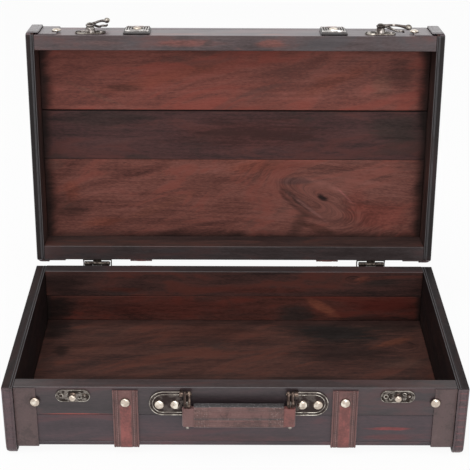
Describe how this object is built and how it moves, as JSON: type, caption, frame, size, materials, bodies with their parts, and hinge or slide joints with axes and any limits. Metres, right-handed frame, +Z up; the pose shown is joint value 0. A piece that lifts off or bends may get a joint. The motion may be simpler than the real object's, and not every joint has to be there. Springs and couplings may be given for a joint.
{
  "type": "wooden suitcase box",
  "caption": "Small wooden suitcase box with a hinged lid, leather straps and edge bands, a carrying handle and latch hooks.",
  "frame": {"origin": "middle of the open case's footprint, on the plane it stands on", "axes": "+X along the case towards its right end as seen from the front, -Y out of the front with the handle, +Z up"},
  "size_m": [0.4, 0.308, 0.3103],
  "materials": {
    "dark_stained_wood": "worn satin, dark mahogany stain",
    "red_stained_wood": "worn satin, red-brown mahogany stain",
    "dark_leather": "embossed, worn",
    "red_brown_leather": "embossed, worn",
    "antique_brass": "aged, dark in the hollows",
    "bright_brass": "polished domes",
    "dark_bronze": "dark patina"
  },
  "bodies": {
    "tray": {"tray_front_upper_board": "dark_stained_wood", "tray_front_lower_board": "dark_stained_wood", "tray_back_upper_board": "dark_stained_wood", "tray_back_lower_board": "dark_stained_wood", "bottom_panel": "red_stained_wood", "left_tray_end_board": "dark_stained_wood", "left_tray_end_panel": "dark_stained_wood", "left_tray_edge_band": "red_brown_leather", "left_tray_end_wrap": "dark_leather", "left_tray_strap": "red_brown_leather", "left_tray_wrap_nail": "bright_brass", "left_tray_strap_nail": "bright_brass", "left_keeper_plate": "antique_brass", "left_handle_plate": "antique_brass", "left_hinge_tray_leaf": "antique_brass", "left_hinge_pin": "antique_brass", "right_tray_end_board": "dark_stained_wood", "right_tray_end_panel": "dark_stained_wood", "right_tray_edge_band": "red_brown_leather", "right_tray_end_wrap": "dark_leather", "right_tray_strap": "red_brown_leather", "right_tray_wrap_nail": "bright_brass", "right_tray_strap_nail": "bright_brass", "right_keeper_plate": "antique_brass", "right_handle_plate": "antique_brass", "right_hinge_tray_leaf": "antique_brass", "right_hinge_pin": "antique_brass"},
    "handle": {"handle_grip": "red_brown_leather", "left_handle_link": "dark_bronze", "left_handle_rod": "antique_brass", "right_handle_link": "dark_bronze", "right_handle_rod": "antique_brass"},
    "lid": {"lid_front_wall": "dark_stained_wood", "lid_back_wall": "dark_stained_wood", "lid_front_plank": "red_stained_wood", "lid_middle_plank": "red_stained_wood", "lid_back_plank": "red_stained_wood", "left_lid_end_board": "dark_stained_wood", "left_lid_end_panel": "dark_stained_wood", "left_lid_edge_band": "red_brown_leather", "left_lid_end_wrap": "dark_leather", "left_lid_strap": "red_brown_leather", "left_lid_wrap_nail": "bright_brass", "left_buckle": "antique_brass", "left_hook_plate": "antique_brass", "left_hook_rivet": "antique_brass", "left_hinge_lid_leaf": "antique_brass", "right_lid_end_board": "dark_stained_wood", "right_lid_end_panel": "dark_stained_wood", "right_lid_edge_band": "red_brown_leather", "right_lid_end_wrap": "dark_leather", "right_lid_strap": "red_brown_leather", "right_lid_wrap_nail": "bright_brass", "right_buckle": "antique_brass", "right_hook_plate": "antique_brass", "right_hook_rivet": "antique_brass", "right_hinge_lid_leaf": "antique_brass"},
    "left_hook": {"left_hook": "antique_brass"},
    "right_hook": {"right_hook": "antique_brass"}
  },
  "joints": [
    {"name": "lid_hinge", "type": "hinge", "parent": "tray", "child": "lid", "pos_m": [0, 0.09007, 0.06825], "axis": [1, 0, 0], "range_deg": [0, 95.5]},
    {"name": "handle_swing", "type": "hinge", "parent": "tray", "child": "handle", "pos_m": [0.003, -0.14693, 0.0635], "axis": [-1, 0, 0], "range_deg": [0, 120]},
    {"name": "left_hook_turn", "type": "hinge", "parent": "lid", "child": "left_hook", "pos_m": [-0.1392, 0.12335, 0.29912], "axis": [0, 0.0958, 0.9954], "range_deg": [-145, 85]},
    {"name": "right_hook_turn", "type": "hinge", "parent": "lid", "child": "right_hook", "pos_m": [0.1392, 0.12335, 0.29912], "axis": [0, 0.0958, 0.9954], "range_deg": [-72, 158]}
  ]
}
